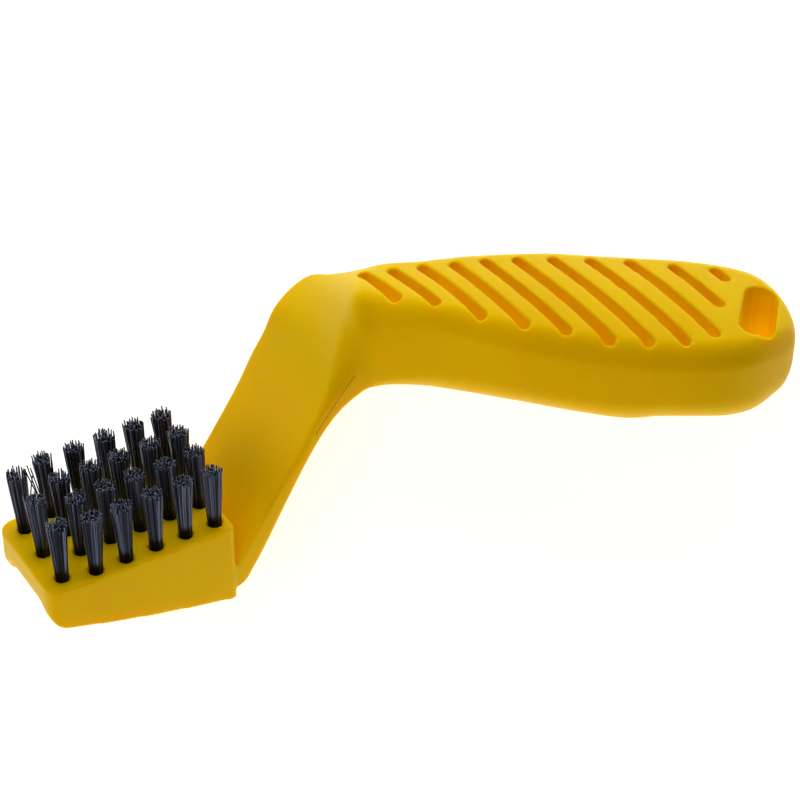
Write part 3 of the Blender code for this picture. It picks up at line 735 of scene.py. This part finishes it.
# The stage: a plain white floor under the brush, a pale world that is brightest at the horizon,
# and soft light from the far side, the near side, the left and overhead
FLOOR_SIZE = 6
FLOOR_GLOW = 0.92
FLOOR_GLOW_SEEN = 0.80
HORIZON = 1.45
ZENITH = 0.34
WORLD_IN_GLOSS = 0.3
LAMPS_AIM_AT = (0, 0, 0.03)
bpy.ops.mesh.primitive_plane_add(size=FLOOR_SIZE, location=(0, 0, 0))
floor = done(bpy.context.object, "floor")
white, shader = new_material("white_floor")
shader.inputs["Base Color"].default_value = (0.65, 0.65, 0.65, 1)
shader.inputs["Roughness"].default_value = 0.9
seen = add_node(white, "ShaderNodeLightPath").outputs["Is Camera Ray"]
glow = add_node(white, "ShaderNodeMapRange", Value=seen, To_Min=FLOOR_GLOW, To_Max=FLOOR_GLOW_SEEN)
lit = add_node(white, "ShaderNodeEmission", Color=(1, 1, 1, 1), Strength=glow.outputs["Result"])
both = add_node(white, "ShaderNodeAddShader", _0=shader.outputs[0], _1=lit.outputs[0])
white.node_tree.links.new(both.outputs[0], white.node_tree.nodes["Material Output"].inputs["Surface"])
floor.data.materials.append(white)

world = bpy.data.worlds.new("studio")
bpy.context.scene.world = world
world.use_nodes = True
sky = world.node_tree.nodes["Background"]
facing = add_node(world, "ShaderNodeTexCoord").outputs["Generated"]
height = add_node(world, "ShaderNodeSeparateXYZ", Vector=facing).outputs["Z"]
tent = add_node(world, "ShaderNodeMapRange", Value=height, To_Min=HORIZON, To_Max=ZENITH)
path = add_node(world, "ShaderNodeLightPath")
damped = add_node(
    world, "ShaderNodeMapRange", Value=path.outputs["Is Glossy Ray"], To_Min=1.0, To_Max=WORLD_IN_GLOSS
)
strength = add_node(
    world, "ShaderNodeMath", {"operation": "MULTIPLY"},
    _0=tent.outputs["Result"], _1=damped.outputs["Result"],
)
world.node_tree.links.new(strength.outputs[0], sky.inputs["Strength"])
straight = add_node(
    world, "ShaderNodeMath", {"operation": "MAXIMUM"},
    _0=path.outputs["Is Camera Ray"], _1=path.outputs["Is Transmission Ray"],
)
plain = add_node(world, "ShaderNodeBackground", Color=(1, 1, 1, 1), Strength=1.0)
blend = add_node(
    world, "ShaderNodeMixShader", _0=straight.outputs[0], _1=sky.outputs[0], _2=plain.outputs[0]
)
world.node_tree.links.new(blend.outputs[0], world.node_tree.nodes["World Output"].inputs[0])


def soft_light(name, place, size, power, colour=(1, 1, 1)):
    """A square lamp of a size in metres, pointed at the brush."""
    lamp = bpy.data.lights.new(name, "AREA")
    lamp.size = size
    lamp.energy = power
    lamp.color = colour
    made = bpy.data.objects.new(name, lamp)
    bpy.context.scene.collection.objects.link(made)
    made.location = place
    made.visible_glossy = False
    made.rotation_euler = (Vector(LAMPS_AIM_AT) - Vector(place)).to_track_quat("-Z", "Y").to_euler()


soft_light("softbox_far_side", (-0.05, 0.72, 0.38), 0.50, 3.4)
soft_light("softbox_near_side", (0.02, -0.78, 0.19), 0.50, 3.2, (1.0, 0.88, 0.75))
soft_light("softbox_left", (-0.75, -0.05, 0.35), 0.40, 1.0)
soft_light("softbox_overhead", (-0.25, -0.10, 0.90), 0.60, 1.3)

# The camera stands almost over the brush, as the photographer's did, with a long lens. Its place
# and the way it looks are given in the head's frame
LENS_MM = 112.5
SENSOR_MM = 36
CAMERA_PLACE_MM = (-155.3, -397.2, 383.6)
LOOKS_ALONG = (0.41504787, 0.65759823, -0.62872875)
RIGHT_OF_PICTURE = (0.84738174, -0.5309688, 0.00403964)
lens = bpy.data.cameras.new("camera")
lens.lens = LENS_MM
lens.sensor_width = SENSOR_MM
camera = bpy.data.objects.new("camera", lens)
bpy.context.scene.collection.objects.link(camera)
right, forward = Vector(RIGHT_OF_PICTURE), Vector(LOOKS_ALONG)
turn = Matrix((right, right.cross(forward), -forward)).transposed().to_4x4()
camera.matrix_world = HEAD @ Matrix.Translation(Vector(CAMERA_PLACE_MM) * MM) @ turn
bpy.context.scene.camera = camera
bpy.context.scene.view_settings.view_transform = "Standard"
